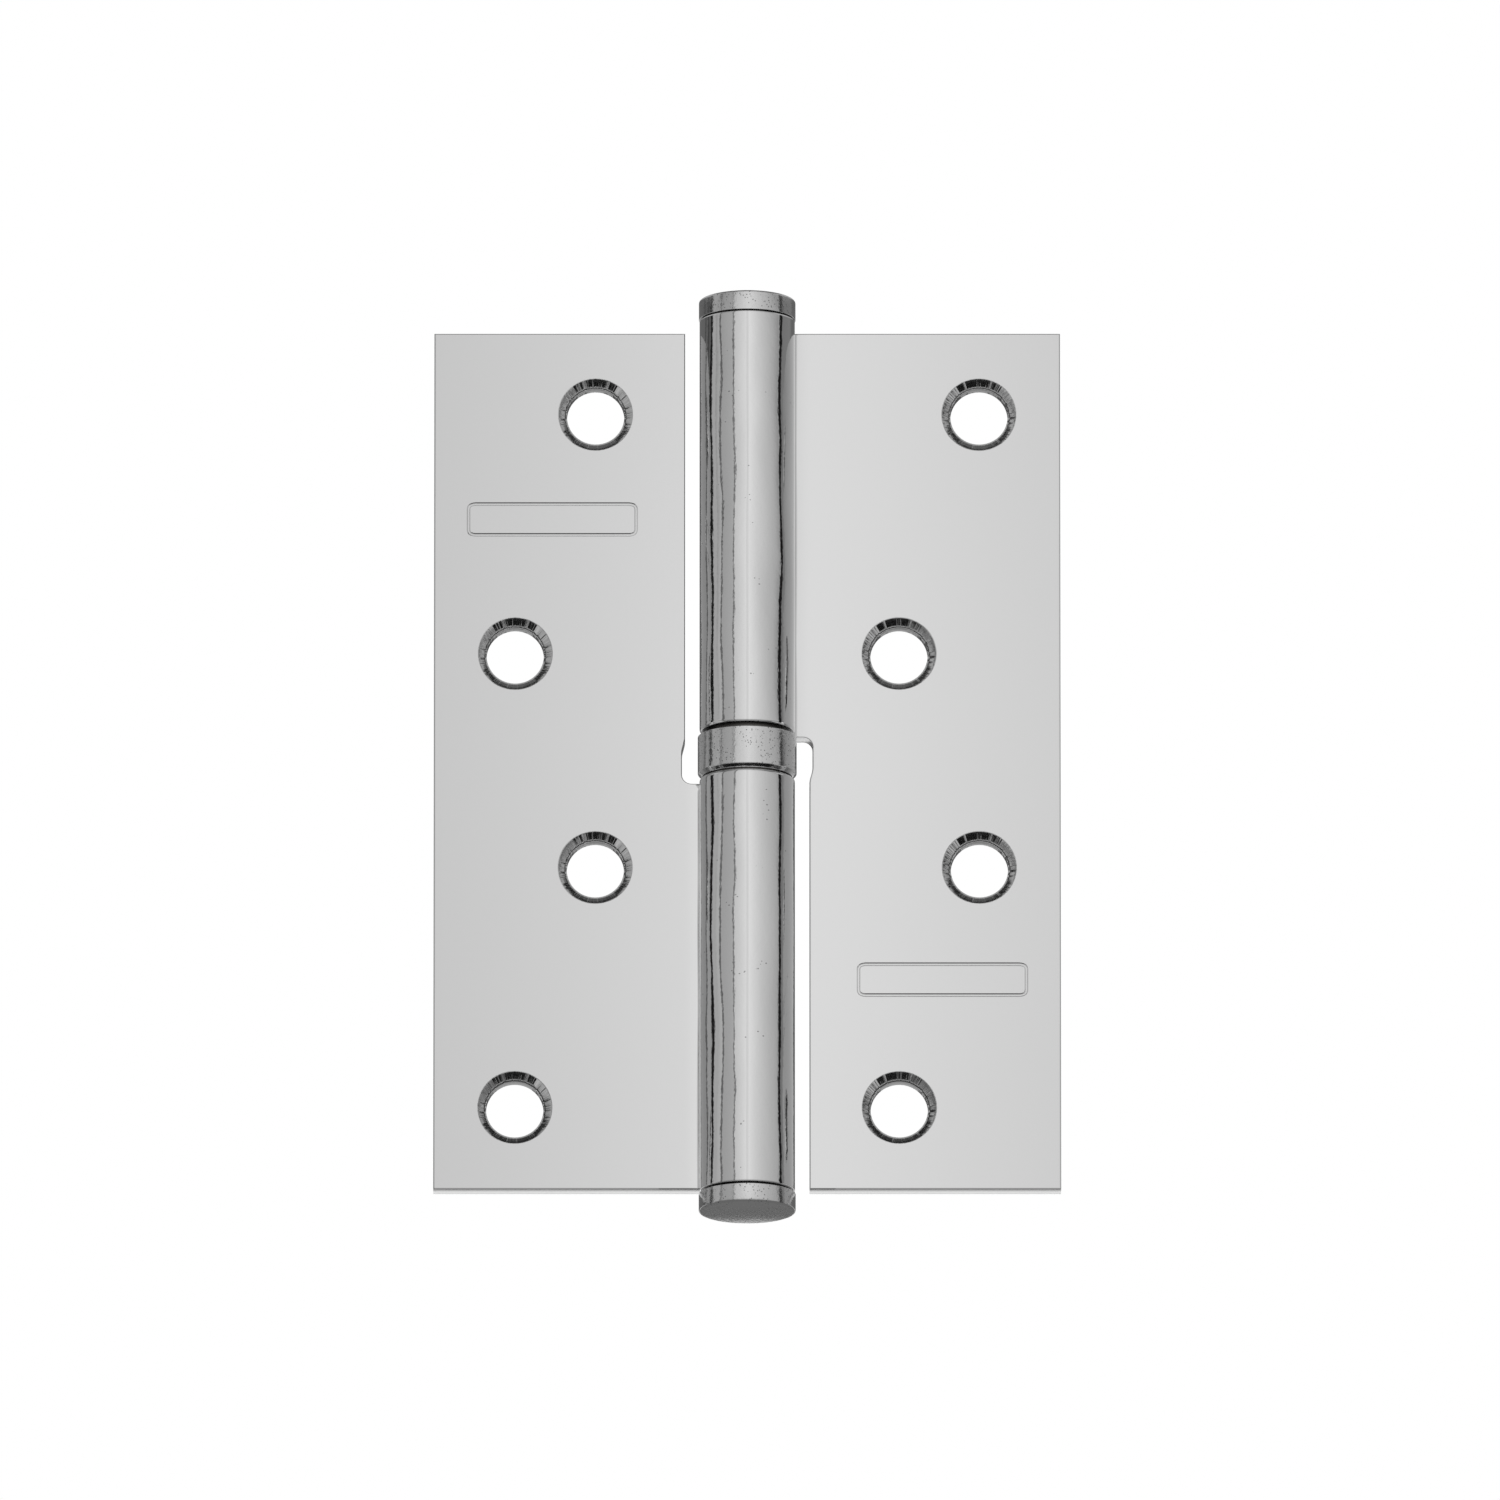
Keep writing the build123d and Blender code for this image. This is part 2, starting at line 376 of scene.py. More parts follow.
def stamp_band(ring, stamp_up):
    """Front grid with the stamped line, and the plain back grid. The line's outline is an oblong smaller by the
    corner radius, plus that radius along each point's direction, and the groove's rows lie beside it."""
    stamp_centre = np.array([STAMP_ACROSS, stamp_up])
    square, direction = square_ring()
    core = stamp_centre + square * (STAMP_HALF - STAMP_CORNER)
    middle = stamp_centre + square * (STAMP_HALF[0] - STAMP_HALF[1], 0)
    outer, floor_edge = STAMP_LINE / 2, STAMP_LINE / 2 - STAMP_WALL
    offset = np.array([outer, floor_edge, -floor_edge, -outer])
    groove = core + (STAMP_CORNER + offset)[:, None, None] * direction
    dip = STAMP_DEPTH * np.array([0, 1, 1, 0])
    outside = ring + SPOKES[:, None, None] * (groove[0] - ring)
    inside = groove[-1] + INNER_SPOKES[:, None, None] * (middle - groove[-1])
    depths = np.concatenate([np.zeros(len(SPOKES)), dip, np.zeros(len(INNER_SPOKES))])
    front = with_depth(np.concatenate([outside, groove, inside]), depths)
    plain = ring + np.append(SPOKES, 1.0)[:, None, None] * (middle - ring)
    back = with_depth(plain, SHEET)
    return [(front, np.zeros_like(front), True), (back, np.zeros_like(back), True)]


# %% [markdown]
# ## The tab that becomes the knuckle
# Behind the notch line only the upper half of the sheet goes on. Its columns are close together, because a
# polished barrel shows every facet. The barrel stands a little past the leaf's end, so the upper border steps
# up over a short ramp where the roll begins.

# %% Tab grids
STEP_WIDTH = 0.4
CORNER_COLUMNS, SWAGE_COLUMNS, STEP_COLUMNS, ROLL_COLUMNS = 8, 14, 8, 150
END_ROOM = 0.5
HEAD_ROUNDING = 0.4
corner_turn = line(0, np.pi / 2, CORNER_COLUMNS)
corner_reach = NOTCH_CORNER + EDGE
corner_end = RELIEF - NOTCH_CORNER
columns = np.concatenate([corner_end + corner_reach * np.cos(corner_turn),
                          line(corner_end, ROLL_START + STEP_WIDTH, SWAGE_COLUMNS)[1:],
                          line(ROLL_START + STEP_WIDTH, ROLL_START - STEP_WIDTH, STEP_COLUMNS)[1:],
                          line(ROLL_START - STEP_WIDTH, ROLL_END + END_ROOM, ROLL_COLUMNS)[1:]])
tab_heights = np.concatenate([inner_edges[1][::-1, 1], inner_edges[0][::-1, 1][1:]])
tab_share = (tab_heights - tab_heights[0]) / np.ptp(tab_heights)


def tab_top(across):
    """Upper outline: the leaf's end, then the barrel's end once the roll has begun."""
    rise = smooth((ROLL_START + STEP_WIDTH - across) / (2 * STEP_WIDTH))
    return HALF_HEIGHT + (BARREL_TOP - HALF_HEIGHT) * rise


def tab_edge(across, roll_edge):
    """Edge rounding: that of the flat sheet, easing into the barrel's own along the bend."""
    return EDGE + (roll_edge - EDGE) * smooth((corner_end - across) / (corner_end - ROLL_START))


def head_share(across):
    """Height over depth of the rounding at the upper end: one on the flat sheet, shallower under the cap."""
    return 1 - (1 - HEAD_ROUNDING) * smooth((corner_end - across) / (corner_end - ROLL_START))


def tab_border(roll_edge):
    """Columns with the last one drawn in from the seam, and the face's lowest and highest point on each. The
    lowest points start on the notch's round corner: the corner's centre plus its radius times the sine."""
    across = np.append(columns, ROLL_END + roll_edge)
    edge = tab_edge(across, roll_edge)
    low = KNUCKLE_FOOT + edge
    low[:len(corner_turn)] = CORNER_FOOT + corner_reach * np.sin(corner_turn)
    return across, low, tab_top(across) - edge * head_share(across)


def tab_face(roll_edge, depth):
    """Face of the tab between its lower and upper border, still flat."""
    across, low, high = tab_border(roll_edge)
    up = low[:, None] + tab_share * (high - low)[:, None]
    flat = np.stack([np.broadcast_to(across[:, None], up.shape), up], axis=-1)
    blank = with_depth(flat, depth)
    return blank, np.zeros_like(blank), False


print("tab columns:", len(columns) + 1, "rows:", len(tab_share))

# %% [markdown]
# ## The rim of the sheet
# One strip runs once round the whole outline and joins the two faces: a quarter round, the flat of the sheet's
# thickness, and another quarter round. At a square corner the outward direction is the sum of both sides, which
# mitres the strip.


# %% Rim strip
def rim_side(points, direction, first_corner=None):
    """Border points of one side without the last, with their outward directions."""
    outward = np.broadcast_to(np.array(direction, dtype=float), points.shape).copy()
    if first_corner is not None:
        outward[0] = first_corner
    return points[:-1], outward[:-1]


def rim_loop(roll_edge):
    """Whole border loop of one face: free edge, bottom, notch, tab's foot, seam, tab's top and leaf's top."""
    across, low, high = tab_border(roll_edge)
    foot = np.stack([across, low], axis=-1)
    foot_points, foot_outward = rim_side(foot, (0, -1))
    foot_outward[:len(corner_turn)] = -np.stack([np.cos(corner_turn), np.sin(corner_turn)], axis=-1)
    head = np.stack([across, high], axis=-1)[::-1]
    head_points, head_outward = rim_side(head, (0, 1), (-1, 1))
    head_outward[:, 1] *= head_share(head_points[:, 0])
    seam_up = low[-1] + tab_share * (high[-1] - low[-1])
    seam = np.stack([np.full_like(seam_up, across[-1]), seam_up], axis=-1)
    free = np.concatenate([free_edges[0]] + [edge[1:] for edge in free_edges[1:]])
    straight = np.concatenate([inner_edges[4][::-1], inner_edges[3][::-1][1:]])
    sides = [rim_side(free, (1, 0), (1, 1)),
             rim_side(cross_lines[5], (0, -1), (1, -1)),
             rim_side(straight, (-1, 0), (-1, -1)),
             rim_side(inner_edges[2][::-1], (-1, 0)),
             (foot_points, foot_outward),
             rim_side(seam, (-1, 0), (-1, -1)),
             (head_points, head_outward),
             rim_side(cross_lines[0][::-1], (0, 1))]
    points = np.concatenate([side[0] for side in sides])
    outward = np.concatenate([side[1] for side in sides])
    return points, outward, tab_edge(points[:, 0], roll_edge)


def rim_strip():
    """Quarter round from the front border, across the thickness, quarter round to the back border."""
    quarter = line(0, np.pi / 2, ROUND_STEPS)
    front, outward, front_edge = rim_loop(ROLL_EDGE_BORE)
    back, _, back_edge = rim_loop(ROLL_EDGE_OUTSIDE)
    front_rows = front + (np.sin(quarter)[:, None] * front_edge)[..., None] * outward
    front_depth = (1 - np.cos(quarter))[:, None] * front_edge
    back_rows = back + (np.sin(quarter[::-1])[:, None] * back_edge)[..., None] * outward
    back_depth = SHEET - (1 - np.cos(quarter[::-1]))[:, None] * back_edge
    flat = np.concatenate([front_rows, back_rows])
    blank = np.concatenate([flat, np.concatenate([front_depth, back_depth])[..., None]], axis=-1)
    return blank, np.zeros_like(blank), True


# %% [markdown]
# ## Both leaves
# Both leaves are the same stamping, so the frame leaf is the door leaf given half a turn about the line of
# sight: x and z change sign. The finish reads the flat coordinates, and the second leaf's are moved far along,
# so the two don't repeat the same marks.

# %% Both leaves
HALF_TURN = np.array([-1, 1, -1])
SHEET_SPACING = 250.0
DOOR_STAMP_UP, FRAME_STAMP_UP = -25.6, -28.2
HOLE_BANDS, STAMP_BAND = [0, 1, 2, 4], 3


def leaf_grids(stamp_up):
    """All grids of the flat blank: four hole bands, the stamp band, the tab's two faces and the rim."""
    grids = [hole_band(band_ring(index), centre) for index, centre in zip(HOLE_BANDS, holes)]
    grids += stamp_band(band_ring(STAMP_BAND), stamp_up)
    grids += [tab_face(ROLL_EDGE_BORE, 0.0), tab_face(ROLL_EDGE_OUTSIDE, SHEET), rim_strip()]
    return grids


def make_leaf(name, node, body, turn, shift_up, stamp_up):
    """Bends the blank, turns it to its side of the pin and keeps the flat coordinates for the finish."""
    blanks, marks, closed = zip(*leaf_grids(stamp_up))
    points = [(bend(blank) * turn, shut) for blank, shut in zip(blanks, closed)]
    patterns = [("blank", [(blank + (0, shift_up, 0)) * MM for blank in blanks]), ("spoke", marks)]
    return piece_from_grids(name, points, node, body, patterns)


door_leaf = make_leaf("door_leaf_sheet", "door_leaf", "door_side", 1, 0.0, DOOR_STAMP_UP)
frame_leaf = make_leaf("frame_leaf_sheet", "frame_leaf", "frame_side", HALF_TURN, SHEET_SPACING, FRAME_STAMP_UP)

# %% [markdown]
# ## Turned pieces
# Caps, bearing shell and pin are lathe work: a profile of radius and height carried round the pin axis. Corners
# of a profile are rounded by short arcs, because a turned edge that is truly sharp never catches light. Races,
# cage and balls are hidden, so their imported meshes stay.

# %% Lathe helpers
TURN_STEPS = 144
ARC_STEPS = 5


def rounded_profile(corners):
    """Points (radius, height) along a profile; each corner is (radius, height, rounding), and a rounding
    becomes a curve that leaves one side and meets the next at that distance from the corner."""
    corners = np.array(corners, dtype=float)
    here, size = corners[:, :2], corners[:, 2:]
    sides = [np.roll(here, step, axis=0) - here for step in (1, -1)]
    start, end = [here + size * side / np.linalg.norm(side, axis=1, keepdims=True) for side in sides]
    share = line(0, 1, ARC_STEPS)[:, None]
    curve = ((1 - share)**2 * start[:, None] + 2 * share * (1 - share) * here[:, None]
             + share**2 * end[:, None])
    return curve.reshape(-1, 2)


def turned_piece(name, node, body, corners, turn=1, ring=False):
    """Piece from a profile carried once round the pin axis: x and y are radius times cosine and sine, z is the
    height. The profile of a ring closes on itself, any other starts and ends on the axis."""
    profile = rounded_profile(corners)
    if ring:
        profile = np.concatenate([profile, profile[:1]])
    angle = np.linspace(0, 2 * np.pi, TURN_STEPS, endpoint=False)
    radius, height = profile[:, :1], profile[:, 1:]
    sides = np.broadcast_arrays(radius * np.cos(angle), radius * np.sin(angle), height)
    return piece_from_grids(name, [(np.stack(sides, axis=-1) * turn, True)], node, body)


# %% End caps
cap_low, cap_high = node_box("upper_cap")
CAP_RIM = 0.3
UPPER_GAP, LOWER_GAP = 0.06, 0.2
PLUG_LEAD = 0.6
SOFT_EDGE = 0.08


def cap_corners(gap):
    """Profile of a cap that stands upward: plug with a lead, and a head a gap away from the barrel's end."""
    return [(0, cap_low[2], 0),
            (BORE - PLUG_LEAD, cap_low[2], SOFT_EDGE),
            (BORE, cap_low[2] + PLUG_LEAD, SOFT_EDGE),
            (BORE, BARREL_TOP + gap, SOFT_EDGE),
            (cap_high[0], BARREL_TOP + gap, SOFT_EDGE),
            (cap_high[0], cap_high[2], CAP_RIM),
            (0, cap_high[2], 0)]


upper_cap = turned_piece("upper_end_cap", "upper_cap", "door_side", cap_corners(UPPER_GAP))
lower_cap = turned_piece("lower_end_cap", "lower_cap", "frame_side", cap_corners(LOWER_GAP),
                         turn=HALF_TURN)

# %% Bearing shell
SHELL_WALL = 0.65
SHELL_LIP, LIP_HEIGHT = 0.35, 0.5
SHELL_CHAMFER = 0.45
SHELL_GAP = 0.12
FINE_EDGE, FOOT_EDGE, TOP_EDGE = 0.05, 0.1, 0.12
shell_radius, shell_bore = shell_high[0], shell_high[0] - SHELL_WALL
shell_foot, shell_top = shell_low[2] + SHELL_GAP, shell_high[2] - SHELL_GAP
shell_corners = [(shell_bore, shell_foot, SOFT_EDGE),
                 (shell_radius - SHELL_CHAMFER, shell_foot, FINE_EDGE),
                 (shell_radius, shell_foot + SHELL_CHAMFER, FOOT_EDGE),
                 (shell_radius, shell_top, TOP_EDGE),
                 (shell_bore - SHELL_LIP, shell_top, SOFT_EDGE),
                 (shell_bore - SHELL_LIP, shell_top - LIP_HEIGHT, SOFT_EDGE),
                 (shell_bore, shell_top - LIP_HEIGHT, FINE_EDGE)]
shell = turned_piece("bearing_ring", "bearing_shell", "frame_side", shell_corners, ring=True)

# %% Pin
pin_low, pin_high = node_box("hinge_pin")
PIN_PLAY = 0.05
PIN_LEAD, LEAD_EDGE = 1.2, 0.4
PIN_FOOT, PIN_FOOT_EDGE = 0.5, 0.2
PRESS_DEPTH, PRESS_EDGE = 6.0, 0.02
pin_radius = BORE - PIN_PLAY
press_top = -(KNUCKLE_FOOT + PRESS_DEPTH)
pin_corners = [(0, pin_low[2], 0),
               (BORE - PIN_FOOT, pin_low[2], PIN_FOOT_EDGE),
               (BORE, pin_low[2] + PIN_FOOT, PIN_FOOT_EDGE),
               (BORE, press_top, PRESS_EDGE),
               (pin_radius, press_top, PRESS_EDGE),
               (pin_radius, pin_high[2] - PIN_LEAD, LEAD_EDGE),
               (pin_radius - PIN_LEAD, pin_high[2], LEAD_EDGE),
               (0, pin_high[2], 0)]
pin = turned_piece("fixed_pin", "hinge_pin", "frame_side", pin_corners)

# %% [markdown]
# ## Shared surface effects
# Plated and polished steel is never a perfect mirror. Polishing leaves a long ripple that makes reflected lines
# wander, and plating leaves pits too small to model. Both are node groups with named sockets, so each finish
# can use them with its own strength.

# %% Node helpers
NODE_WIDTH, NODE_HEIGHT = 220, 320
NODES_IN_ROW = 8


def add_node(tree, kind, **settings):
    """New shader node with its settings, laid out in rows in the order of making."""
    row, column = divmod(len(tree.nodes), NODES_IN_ROW)
    node = tree.nodes.new(kind)
    node.location = (column * NODE_WIDTH, row * -NODE_HEIGHT)
    for key, value in settings.items():
        setattr(node, key, value)
    return node


def feed(socket, value):
    """Gives an input its value: a link from another socket, or a plain number, vector or colour."""
    if isinstance(value, bpy.types.NodeSocket):
        socket.id_data.links.new(value, socket)
    else:
        socket.default_value = value


def split_node(tree, vector):
    """The x, y and z of a vector."""
    node = add_node(tree, "ShaderNodeSeparateXYZ")
    feed(node.inputs[0], vector)
    return node.outputs


def calc(tree, operation, *inputs):
    """Result of a math node whose inputs are sockets or plain numbers."""
    node = add_node(tree, "ShaderNodeMath", operation=operation)
    for socket, value in zip(node.inputs, inputs):
        feed(socket, value)
    return node.outputs[0]


def ease_node(tree, value, start, end, low=0.0, high=1.0, kind="SMOOTHSTEP"):
    """Number that goes from low to high while the value goes from start to end, and stays there outside."""
    node = add_node(tree, "ShaderNodeMapRange", interpolation_type=kind)
    labels = ("Value", "From Min", "From Max", "To Min", "To Max")
    for label, number in zip(labels, (value, start, end, low, high)):
        feed(node.inputs[label], number)
    return node.outputs["Result"]


def noise_node(tree, vector, scale, detail):
    """Noise from 0 to 1 at a vector."""
    node = add_node(tree, "ShaderNodeTexNoise")
    for label, value in (("Vector", vector), ("Scale", scale), ("Detail", detail)):
        feed(node.inputs[label], value)
    return node.outputs["Fac"]


def new_group(name, inputs, output):
    """Empty shader group: a Place vector and numbers as its inputs, and one number as its output."""
    group = bpy.data.node_groups.new(name, "ShaderNodeTree")
    group.interface.new_socket("Place", in_out="INPUT", socket_type="NodeSocketVector")
    for label in inputs:
        group.interface.new_socket(label, in_out="INPUT", socket_type="NodeSocketFloat")
    group.interface.new_socket(output, in_out="OUTPUT", socket_type="NodeSocketFloat")
    return group, add_node(group, "NodeGroupInput"), add_node(group, "NodeGroupOutput")


# %% Polish ripple group
RIPPLE_LAYERS = {"Wave": ((160.0, 60.0, 160.0), 1.0),
                 "Marks": ((1100.0, 420.0, 1100.0), 3.0),
                 "Peel": ((3200.0, 2600.0, 3200.0), 2.0)}
NOISE_MIDDLE = 0.5


def make_ripple_group():
    """Height in metres of a polished skin: a slow wave, marks drawn out along the second axis, and fine peel.
    Each is noise about zero times its own depth."""
    group, given, result = new_group("polish_ripple", RIPPLE_LAYERS, "Height")
    total = 0.0
    for label, (scale, detail) in RIPPLE_LAYERS.items():
        scaled = add_node(group, "ShaderNodeVectorMath", operation="MULTIPLY")
        feed(scaled.inputs[0], given.outputs["Place"])
        feed(scaled.inputs[1], scale)
        noise = noise_node(group, scaled.outputs[0], 1.0, detail)
        centred = calc(group, "SUBTRACT", noise, NOISE_MIDDLE)
        height = calc(group, "MULTIPLY", centred, given.outputs[label])
        total = calc(group, "ADD", total, height)
    feed(result.inputs["Height"], total)
    return group


# %% Plating pits group
PATCH_SCALE, PATCH_DETAIL = 400.0, 2.0


def make_pits_group():
    """Mask of small pits: the middles of random cells, kept only where a coarse noise is high."""
    group, given, result = new_group("plating_pits", ("Scale", "Size", "Amount"), "Mask")
    cells = add_node(group, "ShaderNodeTexVoronoi")
    feed(cells.inputs["Vector"], given.outputs["Place"])
    feed(cells.inputs["Scale"], given.outputs["Scale"])
    patches = noise_node(group, given.outputs["Place"], PATCH_SCALE, PATCH_DETAIL)
    inside = calc(group, "LESS_THAN", cells.outputs["Distance"], given.outputs["Size"])
    rare = calc(group, "SUBTRACT", 1.0, given.outputs["Amount"])
    chosen = calc(group, "GREATER_THAN", patches, rare)
    feed(result.inputs["Mask"], calc(group, "MULTIPLY", inside, chosen))
    return group


ripple_group = make_ripple_group()
pits_group = make_pits_group()
print("groups:", ripple_group.name, pits_group.name)

# %% [markdown]
# ## Finishes
# The turned pieces share one recipe: a metal whose colour and roughness change in the pits, and a shallow bump
# from the ripple. Heights are true ones, in thousandths of a millimetre, so the finish keeps its scale.


# %% Metal recipe
def new_material(name, metallic=0.0):
    """Material with its tree and its Principled shader."""
    material = bpy.data.materials.new(name)
    material.use_nodes = True
    shader = material.node_tree.nodes["Principled BSDF"]
    feed(shader.inputs["Metallic"], metallic)
    return material, material.node_tree, shader


def add_effect(tree, group, source, values):
    """Result of a shared effect, fed with a place vector; values are numbers or sockets."""
    node = add_node(tree, "ShaderNodeGroup", node_tree=group)
    for label, value in {"Place": source, **values}.items():
        feed(node.inputs[label], value)
    return node.outputs[0]


def mix_colour(tree, mask, plain, marked):
    """Colour that goes from plain to marked with a mask; each is a socket, a grey or (red, green, blue)."""
    tint = add_node(tree, "ShaderNodeMix", data_type="RGBA")
    for label, colour in (("A", plain), ("B", marked)):
        if isinstance(colour, float):
            colour = (colour, colour, colour)
        if isinstance(colour, tuple):
            colour = (*colour, 1.0)
        feed(tint.inputs[label], colour)
    feed(tint.inputs["Factor"], mask)
    return tint.outputs["Result"]


def mix_value(tree, mask, plain, marked):
    """Number that goes from plain to marked with a mask."""
    return calc(tree, "ADD", calc(tree, "MULTIPLY", mask, marked - plain), plain)


def set_bump(tree, shader, height):
    """Bump from a height in metres."""
    bump = add_node(tree, "ShaderNodeBump")
    feed(bump.inputs["Distance"], 1.0)
    feed(bump.inputs["Height"], height)
    feed(shader.inputs["Normal"], bump.outputs["Normal"])


def make_metal(name, colour, pit_colour, roughness, pit_roughness, ripple, pits):
    """Metal with pits in colour and roughness and a rippled normal, laid out on Object coordinates."""
    material, tree, shader = new_material(name, metallic=1.0)
    place = add_node(tree, "ShaderNodeTexCoord").outputs["Object"]
    mask = add_effect(tree, pits_group, place, pits)
    feed(shader.inputs["Base Color"], mix_colour(tree, mask, colour, pit_colour))
    feed(shader.inputs["Roughness"], mix_value(tree, mask, roughness, pit_roughness))
    set_bump(tree, shader, add_effect(tree, ripple_group, place, ripple))
    return material


# %% Turned and bearing finishes
MICRON = 1e-6
satin_chrome = make_metal("satin_chrome", colour=0.62, pit_colour=0.25, roughness=0.14, pit_roughness=0.4,
                          ripple={"Wave": 120 * MICRON, "Marks": 18 * MICRON, "Peel": 14 * MICRON},
                          pits={"Scale": 3000.0, "Size": 0.22, "Amount": 0.56})
bright_steel = make_metal("bright_steel", colour=(0.56, 0.56, 0.57), pit_colour=0.3,
                          roughness=0.22, pit_roughness=0.4,
                          ripple={"Marks": 3 * MICRON, "Peel": 1 * MICRON},
                          pits={"Scale": 900.0, "Size": 0.1, "Amount": 0.4})
# The race steel is near black: painted shade for the gaps at the bearing ring, where the races show.
bearing_steel = make_metal("bearing_steel", colour=(0.11, 0.105, 0.1), pit_colour=0.05,
                           roughness=0.3, pit_roughness=0.45,
                           ripple={"Marks": 2 * MICRON, "Peel": 1 * MICRON},
                           pits={"Scale": 1200.0, "Size": 0.2, "Amount": 0.45})
cage_brass = make_metal("cage_brass", colour=(0.74, 0.55, 0.27), pit_colour=(0.4, 0.28, 0.12),
                        roughness=0.28, pit_roughness=0.45,
                        ripple={"Marks": 4 * MICRON, "Peel": 2 * MICRON},
                        pits={"Scale": 1100.0, "Size": 0.14, "Amount": 0.42})

# %% [markdown]
# ## The leaf's finish
# The leaf needs more than the recipe. Rolling stretches the sheet, so the barrel is less smooth than the flat
# plate. The countersink keeps chatter marks that run down its cone, the punched bore below it is dull and
# darkened with painted shade, and the roll's end at the bearing is painted near black as the shade in the gap.
# The blank's attributes tell these places apart.

# %% Leaf masks
SHEET_MIDDLE = SHEET_SPACING / 2 * MM


def leaf_masks(tree, blank, spoke):
    """Across coordinate and five masks. Rolled: across, past the notch. Sunk: length of the spoke. Bored: sunk
    below the cone. Cut: between the roundings of the faces, outside holes. Gap shade: low cut end of the roll,
    where painted shade darkens the gap at the bearing ring."""
    across, up, depth = split_node(tree, blank)
    rolled = ease_node(tree, across, corner_end * MM, ROLL_START * MM)
    length = add_node(tree, "ShaderNodeVectorMath", operation="LENGTH")
    feed(length.inputs[0], spoke)
    sunk = length.outputs["Value"]
    below_cone = calc(tree, "GREATER_THAN", depth, (SINK_RADIUS - HOLE_RADIUS) * MM)
    bored = calc(tree, "MULTIPLY", below_cone, sunk)
    deep = calc(tree, "GREATER_THAN", depth, EDGE * MM)
    shallow = calc(tree, "LESS_THAN", depth, (SHEET - EDGE) * MM)
    between = calc(tree, "MULTIPLY", deep, shallow)
    no_hole = calc(tree, "SUBTRACT", 1.0, sunk)
    cut = calc(tree, "MULTIPLY", between, no_hole)
    # The roll's low cut end is painted near black: painted shade for the gap at the bearing ring.
    height = calc(tree, "WRAP", up, SHEET_MIDDLE, -SHEET_MIDDLE)
    low = calc(tree, "LESS_THAN", height, (KNUCKLE_FOOT + SOFT_EDGE) * MM)
    low_cut = calc(tree, "MULTIPLY", low, between)
    gap_shade = calc(tree, "MULTIPLY", low_cut, rolled)
    return across, rolled, sunk, bored, cut, gap_shade


# %% Leaf relief
PLATE_RIPPLE = {"Wave": 2 * MICRON, "Marks": 0.0, "Peel": 0.0}
ROLLED_RIPPLE = {"Wave": 480 * MICRON, "Marks": 22 * MICRON, "Peel": 5 * MICRON}
CHATTER, CHATTER_SCALE, CHATTER_DETAIL = 520 * MICRON, 3.0, 4.0
CREASE_DEPTH = 22 * MICRON
CREASE_WIDTH = 0.12
crease_line = ROLL_START - ROLL_MID * (np.pi + BEND_ANGLE)


def leaf_height(tree, blank, spoke, across, rolled, sunk):
    """Height in metres: ripple that grows on the roll, chatter along a sink's spokes, and one crease."""
    depths = {label: mix_value(tree, rolled, PLATE_RIPPLE[label], ROLLED_RIPPLE[label])
              for label in RIPPLE_LAYERS}
    ripple = add_effect(tree, ripple_group, blank, depths)
    chatter = noise_node(tree, spoke, CHATTER_SCALE, CHATTER_DETAIL)
    in_sink = calc(tree, "MULTIPLY", chatter, sunk)
    marks = calc(tree, "MULTIPLY", in_sink, CHATTER)
    offset = calc(tree, "SUBTRACT", across, crease_line * MM)
    away = calc(tree, "ABSOLUTE", offset)
    crease = ease_node(tree, away, 0.0, CREASE_WIDTH * MM, -CREASE_DEPTH, 0.0)
    marked = calc(tree, "ADD", ripple, marks)
    return calc(tree, "ADD", marked, crease)


# %% Leaf finish
LEAF_PITS = {"Scale": 2000.0, "Size": 0.17, "Amount": 0.36}
PLATE_GREY, PIT_GREY = 0.68, 0.34
# The bore's grey is dark: partly the dull punched wall, partly painted shade inside the hole.
# The grey for the roll's low cut end is near black: painted shade for the gap at the bearing ring.
SINK_GREY, BORE_DULL_AND_SHADE_GREY, GAP_SHADE_GREY = 0.6, 0.16, 0.06
PLATE_ROUGHNESS, SINK_ROUGHNESS, CUT_ROUGHNESS = 0.05, 0.12, 0.22


def make_leaf_finish():
    """Polished sheet: nearly a mirror on the plate, rippled where it is rolled, chattered in the sinks."""
    material, tree, shader = new_material("polished_chrome", metallic=1.0)
    blank, spoke = [add_node(tree, "ShaderNodeAttribute", attribute_name=name).outputs["Vector"]
                    for name in ("blank", "spoke")]
    across, rolled, sunk, bored, cut, gap_shade = leaf_masks(tree, blank, spoke)
    set_bump(tree, shader, leaf_height(tree, blank, spoke, across, rolled, sunk))
    pits = add_effect(tree, pits_group, blank, LEAF_PITS)
    spots = calc(tree, "MULTIPLY", pits, rolled)
    colour = mix_colour(tree, spots, PLATE_GREY, PIT_GREY)
    for mask, grey in ((sunk, SINK_GREY), (bored, BORE_DULL_AND_SHADE_GREY), (gap_shade, GAP_SHADE_GREY)):
        colour = mix_colour(tree, mask, colour, grey)
    feed(shader.inputs["Base Color"], colour)
    smooth_part = mix_value(tree, sunk, PLATE_ROUGHNESS, SINK_ROUGHNESS)
    cut_part = calc(tree, "MULTIPLY", cut, CUT_ROUGHNESS)
    feed(shader.inputs["Roughness"], calc(tree, "MAXIMUM", smooth_part, cut_part))
    return material


polished_chrome = make_leaf_finish()

